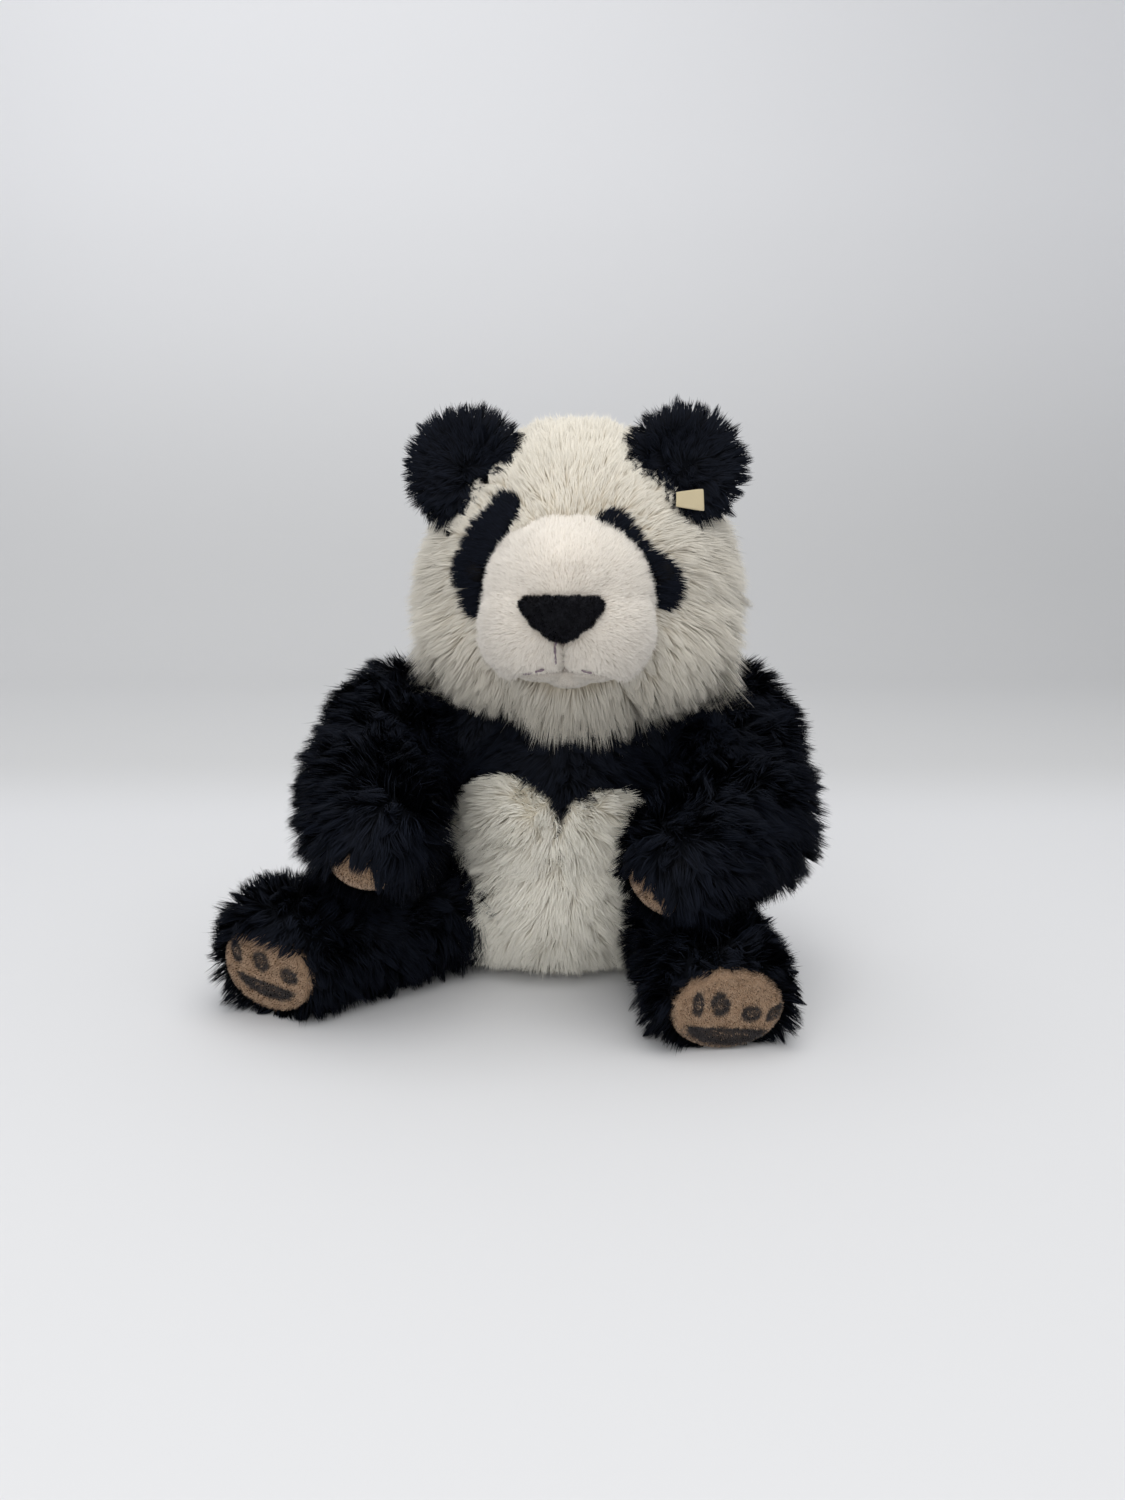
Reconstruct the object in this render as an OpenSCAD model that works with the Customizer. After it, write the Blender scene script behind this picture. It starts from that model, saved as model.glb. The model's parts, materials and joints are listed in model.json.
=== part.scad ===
// Sitting plush panda: a soft-sewn toy with a stuffed head, body, arms and legs.
// Covers are the backing cloth under the fur; each limb root is a ball in a hollow of the body,
// so that a limb can swing about its root and stay clear of the body.

/* [Cloth] */
// Thickness of each cloth cover, pile backing and seam allowance together
cloth = 4; // [3:0.5:5]
// Gap between the cloth and what it holds
fill_gap = 0.3; // [0.2:0.1:0.5]
// Gap along a sewn edge between two panels that curve past each other
seam_gap = 0.15; // [0.1:0.05:0.3]
// Thickness of the sewing thread
thread_d = 1.4; // [1:0.1:1.6]

/* [Body] */
// Largest radius of the body
body_r = 58; // [56:0.5:59]
// Radius of the flat seat
seat_r = 46; // [42:1:48]
// Height of the body's top edge
body_h = 158; // [152:1:160]
// Height at which the white lower body meets the black yoke
yoke_z = 95; // [85:1:100]
// Radius of each round lobe of the belly panel
lobe_r = 22; // [18:1:24]

/* [Head] */
// Radius of the head
head_r = 75; // [72:0.5:76]
// Height of the head's centre
head_z = 214; // [212:1:218]
// Sideways place of the head's centre
head_x = 8; // [4:1:9]
// Angle by which the head looks to its own right
head_turn = 5; // [0:1:8]
// Radius of the muzzle
muzzle_r = 44; // [42:0.5:45]
// Width of the forehead strip
gusset_w = 32; // [28:1:36]
// Radius of each ear
ear_r = 24; // [20:1:26]
// Half the thickness of an ear at its middle
ear_half = 7; // [5:0.5:8]

/* [Arms] */
// Radius of the arm at the shoulder
shoulder_r = 34; // [32:0.5:34]
// Radius of the arm at the elbow
elbow_r = 31; // [28:0.5:32]
// Radius of the paw
paw_r = 25; // [22:0.5:25]
// Radius of the paw pad
paw_pad_r = 14; // [10:0.5:15]

/* [Legs] */
// Radius of the leg at the hip
hip_r = 25; // [23:0.5:25]
// Radius of the foot
foot_r = 28; // [26:0.5:28]
// Distance from the hip to the middle of the foot
leg_l = 95; // [90:1:98]
// Distance from the middle of the foot to the flat sole
sole_reach = 17; // [15:0.5:19]
// Angle by which each sole faces down
sole_lean = 12; // [0:1:15]
// Angle by which the right foot is bent back to the front
sole_turn_right = 28; // [0:1:30]
// Angle of the left leg out from straight ahead
splay_left = 7; // [5:1:20]
// Angle of the right leg out from straight ahead
splay_right = 53; // [30:1:56]

/* [Hidden] */
$fn = 64;
far = 400;
body_y = 2;
head_y = -10;
shoulder = [88, 0, 130];
elbow_left = [94, -44, 96];
elbow_right = [-98, -42, 107];
paw_left = [56, -100, 80];
paw_right = [-90, -102, 94];
pad_dir_left = [-24, -14, -20];
pad_dir_right = [-6, -16, -17];
hip = [62, -22, 36];
root_gap = 2;
hip_hollow_r = hip_r + 6;
muzzle_at = [0, -58.3, -11];
chin_z = -43;
eye_turn = 38;
eye_lift = 3;
eye_r = 6;
eye_h = 4.5;
nose_h = 6;
eye_stem_r = 2.4;
washer_r = 8;
patch_r = 11;
patch_lean = 22;
patch_len = 26;
ear_at = [55, -29, 55];
tail_r = 13;
bag_r = 28;
bag_h = 22;
cone_share = 0.97;
ear_facets = 128;
foot_drop = hip[2] - foot_r;
foot_at = [0, -sqrt(leg_l * leg_l - foot_drop * foot_drop), -foot_drop];
leg_tilt = atan2(foot_drop, -foot_at[1]);
sole_r = sqrt(foot_r * foot_r - sole_reach * sole_reach) - 1;

COVER_WHITE = [0.90, 0.88, 0.82];
COVER_BLACK = [0.06, 0.06, 0.07];
PAD_TAN = [0.72, 0.60, 0.48];
FILL_WHITE = [0.95, 0.95, 0.93];

// ---- helpers ----

// Turns +Z towards direction d
module aim(d) {
    rotate([0, acos(d[2] / norm(d)), atan2(d[1], d[0])]) children();
}

module ball(at, r) {
    translate(at) sphere(r);
}

// A cone between two balls, a little thinner than they are
module taper(a, ra, b, rb) {
    translate(a) aim(b - a)
        cylinder(h = norm(b - a), r1 = ra * cone_share, r2 = rb * cone_share);
}

// Half of space: side 1 keeps the positive side of the axis, -1 the negative
module half_space(axis, at, side) {
    shift = side * far / 2 + at;
    translate([axis == 0 ? shift : 0, axis == 1 ? shift : 0, axis == 2 ? shift : 0])
        cube(far, center = true);
}

// ---- torso ----

function torso_profile(t) = [
    [0, t], [seat_r - t, t], [body_r - 4 - t, 8 + t / 2], [body_r - 1 - t, 22],
    [body_r - t, 48], [body_r - t, 125], [body_r - 3 - t, 142 - t / 2],
    [body_r - 14 - t, body_h - t], [0, body_h - t]
];

module torso_form(t) {
    translate([0, body_y, 0]) rotate(40) rotate_extrude() polygon(torso_profile(t));
}

// The hollows that the head, arms and legs sit in
module torso_hollows() {
    ball([head_x, head_y, head_z], head_r + root_gap);
    for (side = [-1, 1]) {
        ball([side * shoulder[0], shoulder[1], shoulder[2]], shoulder_r + root_gap);
        ball([side * hip[0], hip[1], hip[2]], hip_hollow_r);
    }
}

module torso_shell() {
    difference() {
        torso_form(0);
        torso_form(cloth);
        torso_hollows();
    }
}

// The belly panel's two lobes and its straight sides, seen from the front
module belly_prism(grow) {
    lobe_z = yoke_z - 6;
    rotate([90, 0, 0]) linear_extrude(90) {
        for (side = [-1, 1])
            translate([side * (lobe_r - 1), lobe_z]) circle(lobe_r + grow);
    }
}

module belly_panel() {
    color(COVER_WHITE) intersection() {
        difference() {
            torso_shell();
            half_space(2, cloth + seam_gap, -1);
        }
        half_space(1, body_y, -1);
        union() {
            half_space(2, yoke_z, -1);
            belly_prism(0);
        }
    }
}

module yoke_front() {
    color(COVER_BLACK) intersection() {
        difference() {
            torso_shell();
            belly_prism(seam_gap);
        }
        half_space(1, body_y, -1);
        half_space(2, yoke_z, 1);
    }
}

module yoke_back() {
    color(COVER_BLACK) intersection() {
        torso_shell();
        half_space(1, body_y, 1);
        half_space(2, yoke_z, 1);
    }
}

module lower_back(side) {
    color(COVER_WHITE) intersection() {
        difference() {
            torso_shell();
            half_space(2, cloth + seam_gap, -1);
        }
        half_space(1, body_y, 1);
        half_space(2, yoke_z, -1);
        half_space(0, 0, side);
    }
}

module seat_panel() {
    color(COVER_WHITE) intersection() {
        difference() {
            torso_form(0);
            torso_hollows();
        }
        half_space(2, cloth, -1);
    }
}

module tail() {
    color(COVER_WHITE) difference() {
        translate([0, body_y + body_r + 6, 34]) rotate([90, 0, 0]) sphere(tail_r);
        torso_form(-seam_gap);
    }
}

module care_label() {
    color(FILL_WHITE) difference() {
        rotate(62) translate([body_r - 6, -0.5, 10]) cube([22, 1, 20]);
        torso_form(-seam_gap);
    }
}

module bag_form(t) {
    r = bag_r - t;
    translate([0, 10, 6 + t]) rotate_extrude() polygon([
        [0, 0], [r - 6, 0], [r, 6], [r, bag_h - 6 - 2 * t], [r - 6, bag_h - 2 * t],
        [0, bag_h - 2 * t]
    ]);
}

module pellet_bag() {
    color(FILL_WHITE) difference() {
        bag_form(0);
        bag_form(1);
    }
}

module pellets() {
    color([0.7, 0.7, 0.72]) bag_form(1 + fill_gap);
}

module torso_stuffing() {
    color(FILL_WHITE) difference() {
        torso_form(cloth + fill_gap);
        torso_hollows();
        bag_form(-fill_gap);
    }
}

// A ring of stitches on a ball of radius r, round the axis that +Z is aimed along
module stitch_ring(at, dir, ball_r, ring_r) {
    translate(at) aim(dir) translate([0, 0, sqrt(ball_r * ball_r - ring_r * ring_r)])
        rotate_extrude() translate([ring_r, 0]) circle(d = thread_d, $fn = 24);
}

module neck_thread() {
    color(COVER_BLACK)
        stitch_ring([head_x, head_y, head_z], [0, 0, -1], head_r + root_gap / 2, 34);
}

module shoulder_thread(side) {
    color(COVER_BLACK) stitch_ring([side * shoulder[0], shoulder[1], shoulder[2]],
        [-side, 0, 0], shoulder_r + root_gap / 2, 13);
}

module hip_thread(side) {
    color(COVER_BLACK)
        stitch_ring([side * hip[0], hip[1], hip[2]], [-side * 0.93, 0.36, 0], hip_r + 5, 16);
}

// ---- head ----

module at_head() {
    translate([head_x, head_y, head_z]) rotate(-head_turn) children();
}

// Puts +Z along the eye's direction, with the outside of the head at head_r
module at_eye(side) {
    rotate(side * eye_turn) rotate([90 - eye_lift, 0, 0]) children();
}

// The slanted oval of black cloth round an eye
module patch_prism(side, grow) {
    r = patch_r + grow;
    at_eye(side) rotate(side * patch_lean) {
        for (end = [-1, 1])
            translate([0, end * patch_len / 2, 0]) cylinder(h = far / 2, r = r);
        translate([-r * cone_share, -patch_len / 2, 0])
            cube([2 * r * cone_share, patch_len, far / 2]);
    }
}

module stem_holes() {
    for (side = [-1, 1]) at_eye(side) cylinder(h = far / 2, r = eye_stem_r + 0.2);
}

module head_shell() {
    difference() {
        sphere(head_r);
        sphere(head_r - cloth);
        ball(muzzle_at, muzzle_r + seam_gap);
    }
}

module head_side(side) {
    color(COVER_WHITE) at_head() difference() {
        intersection() {
            head_shell();
            half_space(0, side * gusset_w / 2, side);
        }
        patch_prism(side, seam_gap);
    }
}

module forehead_gusset() {
    color(COVER_WHITE) at_head() difference() {
        intersection() {
            head_shell();
            half_space(0, gusset_w / 2, -1);
            half_space(0, -gusset_w / 2, 1);
        }
        for (side = [-1, 1]) patch_prism(side, seam_gap);
    }
}

module eye_patch(side) {
    color(COVER_BLACK) at_head() difference() {
        intersection() {
            head_shell();
            patch_prism(side, 0);
        }
        stem_holes();
    }
}

module muzzle_ball(r) {
    translate(muzzle_at) aim(muzzle_at) sphere(r);
}

module muzzle_shell() {
    difference() {
        muzzle_ball(muzzle_r);
        muzzle_ball(muzzle_r - cloth);
        aim(muzzle_at) sphere(head_r - cloth);
    }
}

module muzzle_cover() {
    color(COVER_WHITE) at_head() intersection() {
        muzzle_shell();
        half_space(2, chin_z, 1);
    }
}

module chin_panel() {
    color(COVER_WHITE) at_head() intersection() {
        muzzle_shell();
        half_space(2, chin_z, -1);
    }
}

// Points of an arc round a corner, from one angle to another
function corner(at, r, from, to) =
    [for (i = [0:6]) at + r * [cos(from + (to - from) * i / 6), sin(from + (to - from) * i / 6)]];

// A triangle with round corners, wide at the top, that stands off the muzzle
module nose() {
    r = 5.5;
    outline = concat(corner([14, -10.5], r, -50, 90), corner([-14, -10.5], r, 90, 230),
        corner([0, -20.5], r, 230, 310));
    color(COVER_BLACK) at_head() intersection() {
        translate([0, muzzle_at[1], 0]) rotate([90, 0, 0])
            linear_extrude(far / 2) polygon(outline);
        difference() {
            muzzle_ball(muzzle_r + nose_h);
            muzzle_ball(muzzle_r + seam_gap);
        }
    }
}

// One upright line of thread under the nose and one curved line across
module mouth_stitching() {
    r = muzzle_r + thread_d / 2 + 0.1;
    low = 42;
    color([0.35, 0.30, 0.32]) at_head() translate(muzzle_at) {
        rotate([0, 0, -90]) rotate([90, 0, 0])
            rotate(-low) rotate_extrude(angle = low - 24)
                translate([r, 0]) circle(d = thread_d, $fn = 24);
        translate([0, 0, -r * sin(low)]) rotate(-90 - 28) rotate_extrude(angle = 56)
            translate([r * cos(low), 0]) circle(d = thread_d, $fn = 24);
    }
}

// A domed bead on a stem, which goes through the cloth
module eye(side) {
    dome = [for (i = [0:8]) [eye_r * cos(i * 90 / 8), head_r + 0.1 + eye_h * sin(i * 90 / 8)]];
    color(COVER_BLACK) at_head() at_eye(side) rotate_extrude()
        polygon(concat([[0, head_r - 12], [eye_stem_r, head_r - 12],
            [eye_stem_r, head_r + 0.1]], dome));
}

module eye_washer(side) {
    color([0.85, 0.85, 0.85]) at_head() at_eye(side)
        translate([0, 0, head_r - cloth - 5]) difference() {
            cylinder(h = 2.5, r = washer_r);
            translate([0, 0, -1]) cylinder(h = 5, r = eye_stem_r + 0.1);
        }
}

// A flat-sewn ear, thick in the middle and thin at its edge
module ear_form(side) {
    big_r = (ear_r * ear_r + ear_half * ear_half) / (2 * ear_half);
    translate([side * ear_at[0], ear_at[1], ear_at[2]]) intersection() {
        ball([0, big_r - ear_half, 0], big_r, $fn = ear_facets);
        ball([0, ear_half - big_r, 0], big_r, $fn = ear_facets);
    }
}

module ear_panel(side, face) {
    color(COVER_BLACK) at_head() difference() {
        intersection() {
            ear_form(side);
            half_space(1, ear_at[1], face);
        }
        sphere(head_r + seam_gap);
    }
}

// A blank folded ribbon at the front lower edge of the left ear
module ear_label() {
    color([0.90, 0.84, 0.70]) at_head() translate([64, -41, 33]) rotate(221)
        linear_extrude(11) difference() {
            square([18, 2.4]);
            translate([0.8, 0.8]) square([20, 0.8]);
        }
}

module head_stuffing() {
    r = head_r - cloth - fill_gap;
    color(FILL_WHITE) at_head() difference() {
        union() {
            sphere(r);
            ball(muzzle_at, muzzle_r - cloth - fill_gap);
        }
        for (side = [-1, 1]) at_eye(side) translate([0, 0, head_r - 13])
            cylinder(h = 20, r = washer_r + fill_gap);
    }
}

// ---- arms ----

function elbow_of(side) = side > 0 ? elbow_left : elbow_right;
function paw_of(side) = side > 0 ? paw_left : paw_right;
function pad_dir_of(side) = side > 0 ? pad_dir_left : pad_dir_right;

module arm_form(side, t) {
    root = [side * shoulder[0], shoulder[1], shoulder[2]];
    ball(root, shoulder_r - t);
    ball(elbow_of(side), elbow_r - t);
    ball(paw_of(side), paw_r - t);
    taper(root, shoulder_r - t, elbow_of(side), elbow_r - t);
    taper(elbow_of(side), elbow_r - t, paw_of(side), paw_r - t);
}

module paw_pad_prism(side, grow) {
    translate(paw_of(side)) aim(pad_dir_of(side))
        translate([0, 0, 4]) cylinder(h = 60, r = paw_pad_r + grow);
}

module arm_shell(side) {
    difference() {
        arm_form(side, 0);
        arm_form(side, cloth);
        paw_pad_prism(side, seam_gap);
    }
}

// The plane of the arm's long seams slopes forward and down with the arm
module arm_seam_half(side, keep) {
    root = [side * shoulder[0], shoulder[1], shoulder[2]];
    slope = atan2(shoulder[2] - paw_of(side)[2], shoulder[1] - paw_of(side)[1]);
    translate(root) rotate([slope, 0, 0])
        translate([0, 0, keep * far / 2]) cube(far, center = true);
}

module arm_panel(side, keep) {
    color(COVER_BLACK) intersection() {
        arm_shell(side);
        arm_seam_half(side, keep);
    }
}

module paw_pad(side) {
    color(PAD_TAN) intersection() {
        difference() {
            ball(paw_of(side), paw_r);
            ball(paw_of(side), paw_r - cloth);
        }
        paw_pad_prism(side, 0);
    }
}

module arm_stuffing(side) {
    color(FILL_WHITE) arm_form(side, cloth + fill_gap);
}

// ---- legs ----

function splay_of(side) = side > 0 ? splay_left : splay_right;

// Puts the leg's own frame in place: hip at the origin, foot towards -Y
module at_leg(side) {
    translate([side * hip[0], hip[1], hip[2]]) rotate(side * splay_of(side)) children();
}

// Puts the sole's own frame in place: middle of the foot at the origin, sole towards -Y
module at_sole(side) {
    turn = side > 0 ? 0 : sole_turn_right;
    translate(foot_at) rotate(-side * turn) rotate([sole_lean, 0, 0]) children();
}

module leg_form(t) {
    sphere(hip_r - t);
    translate(foot_at) rotate([90 + leg_tilt, 0, 0]) sphere(foot_r - t);
    taper([0, 0, 0], hip_r - t, foot_at, foot_r - t);
}

// A leg's form with its foot cut off flat, every wall moved in by t
module leg_solid(side, t) {
    intersection() {
        leg_form(t);
        at_sole(side) half_space(1, t - sole_reach, 1);
    }
}

module leg_shell(side) {
    difference() {
        leg_solid(side, 0);
        leg_solid(side, cloth);
        at_sole(side) sole_disc(sole_r + seam_gap, 1);
    }
}

// The round sole, standing proud of the foot and running past its cloth by the same amount
module sole_disc(r, proud) {
    translate([0, -sole_reach - proud, 0]) rotate([-90, 0, 0])
        cylinder(h = cloth + 2 * proud, r = r);
}

module leg_panel(side, keep) {
    color(COVER_BLACK) at_leg(side) intersection() {
        leg_shell(side);
        rotate([leg_tilt, 0, 0]) half_space(2, 0, keep);
    }
}

module sole_pad(side) {
    color(PAD_TAN) at_leg(side) at_sole(side) sole_disc(sole_r, 0);
}

module leg_stuffing(side) {
    color(FILL_WHITE) at_leg(side) leg_solid(side, cloth + fill_gap);
}

// ---- drawing ----

belly_panel();
lower_back(1);  // lower_back_left
lower_back(-1);  // lower_back_right
yoke_front();
yoke_back();
seat_panel();
tail();
care_label();
torso_stuffing();
pellet_bag();
pellets();
neck_thread();
shoulder_thread(1);  // shoulder_thread_left
shoulder_thread(-1);  // shoulder_thread_right
hip_thread(1);  // hip_thread_left
hip_thread(-1);  // hip_thread_right
head_side(1);  // head_side_left
head_side(-1);  // head_side_right
forehead_gusset();
eye_patch(1);  // eye_patch_left
eye_patch(-1);  // eye_patch_right
muzzle_cover();
chin_panel();
nose();
mouth_stitching();
eye(1);  // eye_left
eye(-1);  // eye_right
eye_washer(1);  // eye_washer_left
eye_washer(-1);  // eye_washer_right
ear_panel(1, -1);  // ear_left_front
ear_panel(1, 1);  // ear_left_back
ear_panel(-1, -1);  // ear_right_front
ear_panel(-1, 1);  // ear_right_back
ear_label();
head_stuffing();
arm_panel(1, 1);  // arm_left_top_panel
arm_panel(1, -1);  // arm_left_under_panel
paw_pad(1);  // arm_left_paw_pad
arm_stuffing(1);  // arm_left_stuffing
arm_panel(-1, 1);  // arm_right_top_panel
arm_panel(-1, -1);  // arm_right_under_panel
paw_pad(-1);  // arm_right_paw_pad
arm_stuffing(-1);  // arm_right_stuffing
leg_panel(1, 1);  // leg_left_top_panel
leg_panel(1, -1);  // leg_left_under_panel
sole_pad(1);  // leg_left_sole_pad
leg_stuffing(1);  // leg_left_stuffing
leg_panel(-1, 1);  // leg_right_top_panel
leg_panel(-1, -1);  // leg_right_under_panel
sole_pad(-1);  // leg_right_sole_pad
leg_stuffing(-1);  // leg_right_stuffing
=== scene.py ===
import json
import math

import bpy
import numpy as np
from mathutils import Matrix, Vector, kdtree


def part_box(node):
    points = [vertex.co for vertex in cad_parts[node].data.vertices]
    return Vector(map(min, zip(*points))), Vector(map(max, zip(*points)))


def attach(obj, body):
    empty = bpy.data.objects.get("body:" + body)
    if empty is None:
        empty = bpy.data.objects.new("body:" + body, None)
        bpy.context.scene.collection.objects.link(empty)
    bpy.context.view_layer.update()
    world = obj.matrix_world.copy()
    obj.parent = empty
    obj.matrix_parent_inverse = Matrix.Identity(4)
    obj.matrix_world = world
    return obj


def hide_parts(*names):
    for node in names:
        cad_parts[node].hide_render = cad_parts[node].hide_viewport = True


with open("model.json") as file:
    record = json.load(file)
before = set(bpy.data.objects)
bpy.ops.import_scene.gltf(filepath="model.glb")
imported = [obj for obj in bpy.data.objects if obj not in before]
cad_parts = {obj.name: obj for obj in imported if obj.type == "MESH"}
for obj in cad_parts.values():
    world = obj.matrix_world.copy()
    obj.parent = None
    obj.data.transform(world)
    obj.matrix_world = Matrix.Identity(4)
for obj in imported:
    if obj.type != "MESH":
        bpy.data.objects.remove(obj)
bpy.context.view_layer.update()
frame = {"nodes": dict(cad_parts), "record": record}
print("frame loaded:", len(frame["nodes"]), "nodes")

mm = 0.001
toSquareMm = 1e6
random = np.random.default_rng(11)
furShare = 1.0
joints = {j["name"]: np.array(j["pos_m"]) for j in frame["record"]["behaviour"]["joints"]}


def boxMiddle(node):
    low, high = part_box(node)
    return (np.array(low) + np.array(high)) / 2


# camera, floor and light

view = {"lens": 28.8, "sensor": 36.0, "place": (0.0, -0.657, 0.234), "tiltDown": 10.0}
scene = bpy.context.scene
cameraData = bpy.data.cameras.new("camera")
cameraData.lens = view["lens"]
cameraData.sensor_width = view["sensor"]
camera = bpy.data.objects.new("camera", cameraData)
camera.location = view["place"]
camera.rotation_euler = (math.radians(90 - view["tiltDown"]), 0, 0)
scene.collection.objects.link(camera)
scene.camera = camera
scene.view_settings.view_transform = "Standard"
scene.view_settings.look = "None"


def nodeIn(tree, kind, x, y, values=None, **settings):
    # a shader node at its place in the editor, with its settings and its fixed inputs
    node = tree.nodes.new("ShaderNode" + kind)
    node.location = (x, y)
    for key, value in settings.items():
        setattr(node, key, value)
    for socket, value in (values or {}).items():
        node.inputs[socket].default_value = value
    return node


def wire(tree, *wires):
    for start, output, end, socket in wires:
        tree.links.new(start.outputs[output], end.inputs[socket])


def newMaterial(name, roughness, specular, sheen=0.0):
    material = bpy.data.materials.new(name)
    material.use_nodes = True
    shader = material.node_tree.nodes["Principled BSDF"]
    shader.inputs["Roughness"].default_value = roughness
    shader.inputs["Specular IOR Level"].default_value = specular
    shader.inputs["Sheen Weight"].default_value = sheen
    shader.inputs["Sheen Roughness"].default_value = 0.4
    return material, material.node_tree, shader


def newGroup(name, inputs, outputs):
    group = bpy.data.node_groups.new(name, "ShaderNodeTree")
    for direction, sockets in (("INPUT", inputs), ("OUTPUT", outputs)):
        for label, kind in sockets.items():
            group.interface.new_socket(label, in_out=direction, socket_type="NodeSocket" + kind)
    ends = [group.nodes.new("NodeGroup" + end) for end in ("Input", "Output")]
    ends[0].location.x, ends[1].location.x = -1100, 500
    return group, *ends


# near is the floor's colour by the toy; far is darker as painted shade behind it, and wall is paler as
# painted light up the wall
stage = {"halfWidth": 4.0, "front": -3.0, "bendStart": 1.3, "bendRadius": 0.9, "bendSteps": 16, "top": 4.0,
         "near": (0.69, 0.692, 0.697, 1), "far": (0.61, 0.61, 0.605, 1), "wall": (0.86, 0.86, 0.865, 1)}


def paperMaterial():
    # painted light and shade: greyer behind the toy (painted shade), paler up the wall and a little brighter
    # on the left (painted light)
    material, tree, shader = newMaterial("palePaperPaintedLight", 0.85, 0.1)
    coords = nodeIn(tree, "TexCoord", -1200, 0)
    split = nodeIn(tree, "SeparateXYZ", -1000, 0)
    # painted shade: the floor darkens behind the toy
    behind = nodeIn(tree, "MapRange", -800, 0, {"From Min": 0.30, "From Max": 0.62},
                    interpolation_type="SMOOTHSTEP")
    # painted light: paler up the wall
    above = nodeIn(tree, "MapRange", -800, -250, {"From Min": 0.1, "From Max": 1.1},
                   interpolation_type="SMOOTHSTEP")
    # painted light: brighter towards the left, darker towards the right
    across = nodeIn(tree, "MapRange", -800, 250,
                    {"From Min": -1.0, "From Max": 1.0, "To Min": 1.05, "To Max": 0.95})
    low = nodeIn(tree, "Mix", -550, 0, data_type="RGBA")
    high = nodeIn(tree, "Mix", -350, -100, data_type="RGBA")
    low.inputs["A"].default_value = stage["near"]
    low.inputs["B"].default_value = stage["far"]
    high.inputs["B"].default_value = stage["wall"]
    toned = nodeIn(tree, "VectorMath", -170, 0, operation="SCALE")
    wire(tree, (coords, "Object", split, 0), (split, "Y", behind, "Value"), (split, "Z", above, "Value"),
         (split, "X", across, "Value"), (behind, 0, low, "Factor"), (low, "Result", high, "A"),
         (above, 0, high, "Factor"), (high, "Result", toned, 0), (across, 0, toned, "Scale"),
         (toned, 0, shader, "Base Color"))
    return material


def makeStage():
    # one big sheet: flat floor, then a wide soft curve up, far behind the toy
    profile = [(stage["front"], 0.0), (stage["bendStart"], 0.0)]
    for i in range(1, stage["bendSteps"] + 1):
        angle = math.radians(90 * i / stage["bendSteps"])
        profile.append((stage["bendStart"] + stage["bendRadius"] * math.sin(angle),
                        stage["bendRadius"] * (1 - math.cos(angle))))
    profile.append((stage["bendStart"] + stage["bendRadius"], stage["top"]))
    verts, faces = [], []
    for y, z in profile:
        verts += [(-stage["halfWidth"], y, z), (stage["halfWidth"], y, z)]
    for i in range(len(profile) - 1):
        faces.append((2 * i, 2 * i + 1, 2 * i + 3, 2 * i + 2))
    mesh = bpy.data.meshes.new("backdrop")
    mesh.from_pydata(verts, [], faces)
    mesh.shade_smooth()
    mesh.materials.append(paperMaterial())
    backdrop = bpy.data.objects.new("backdrop", mesh)
    scene.collection.objects.link(backdrop)


lamps = {"overhead": {"place": (0.25, -0.4, 1.7), "target": (0, 0, 0.12), "size": 1.4, "power": 13,
                      "colour": (1.0, 0.985, 0.96)},
         "frontFill": {"place": (-0.3, -1.5, 0.8), "target": (0, 0, 0.12), "size": 1.2, "power": 8.5,
                       "colour": (1.0, 0.985, 0.955)},
         "wallWash": {"place": (-0.6, 0.8, 2.5), "target": (-0.2, 2.2, 1.0), "size": 1.5, "power": 9,
                      "colour": (1.0, 1.0, 1.0)}}
sky = {"colour": (0.93, 0.95, 1.0, 1), "strength": 0.66}


def addLamp(name, place, target, size, power, colour):
    data = bpy.data.lights.new(name, "AREA")
    data.size = size
    data.energy = power
    data.color = colour
    lamp = bpy.data.objects.new(name, data)
    lamp.location = place
    lamp.rotation_euler = (Vector(target) - Vector(place)).to_track_quat("-Z", "Y").to_euler()
    scene.collection.objects.link(lamp)


makeStage()
world = bpy.data.worlds.new("softSky")
world.use_nodes = True
world.node_tree.nodes["Background"].inputs["Color"].default_value = sky["colour"]
world.node_tree.nodes["Background"].inputs["Strength"].default_value = sky["strength"]
scene.world = world
for lampName, lampValues in lamps.items():
    addLamp(lampName, **lampValues)
print("stage ready")


# materials

furColumns = 64      # each hair takes one of these columns of its own map


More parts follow.
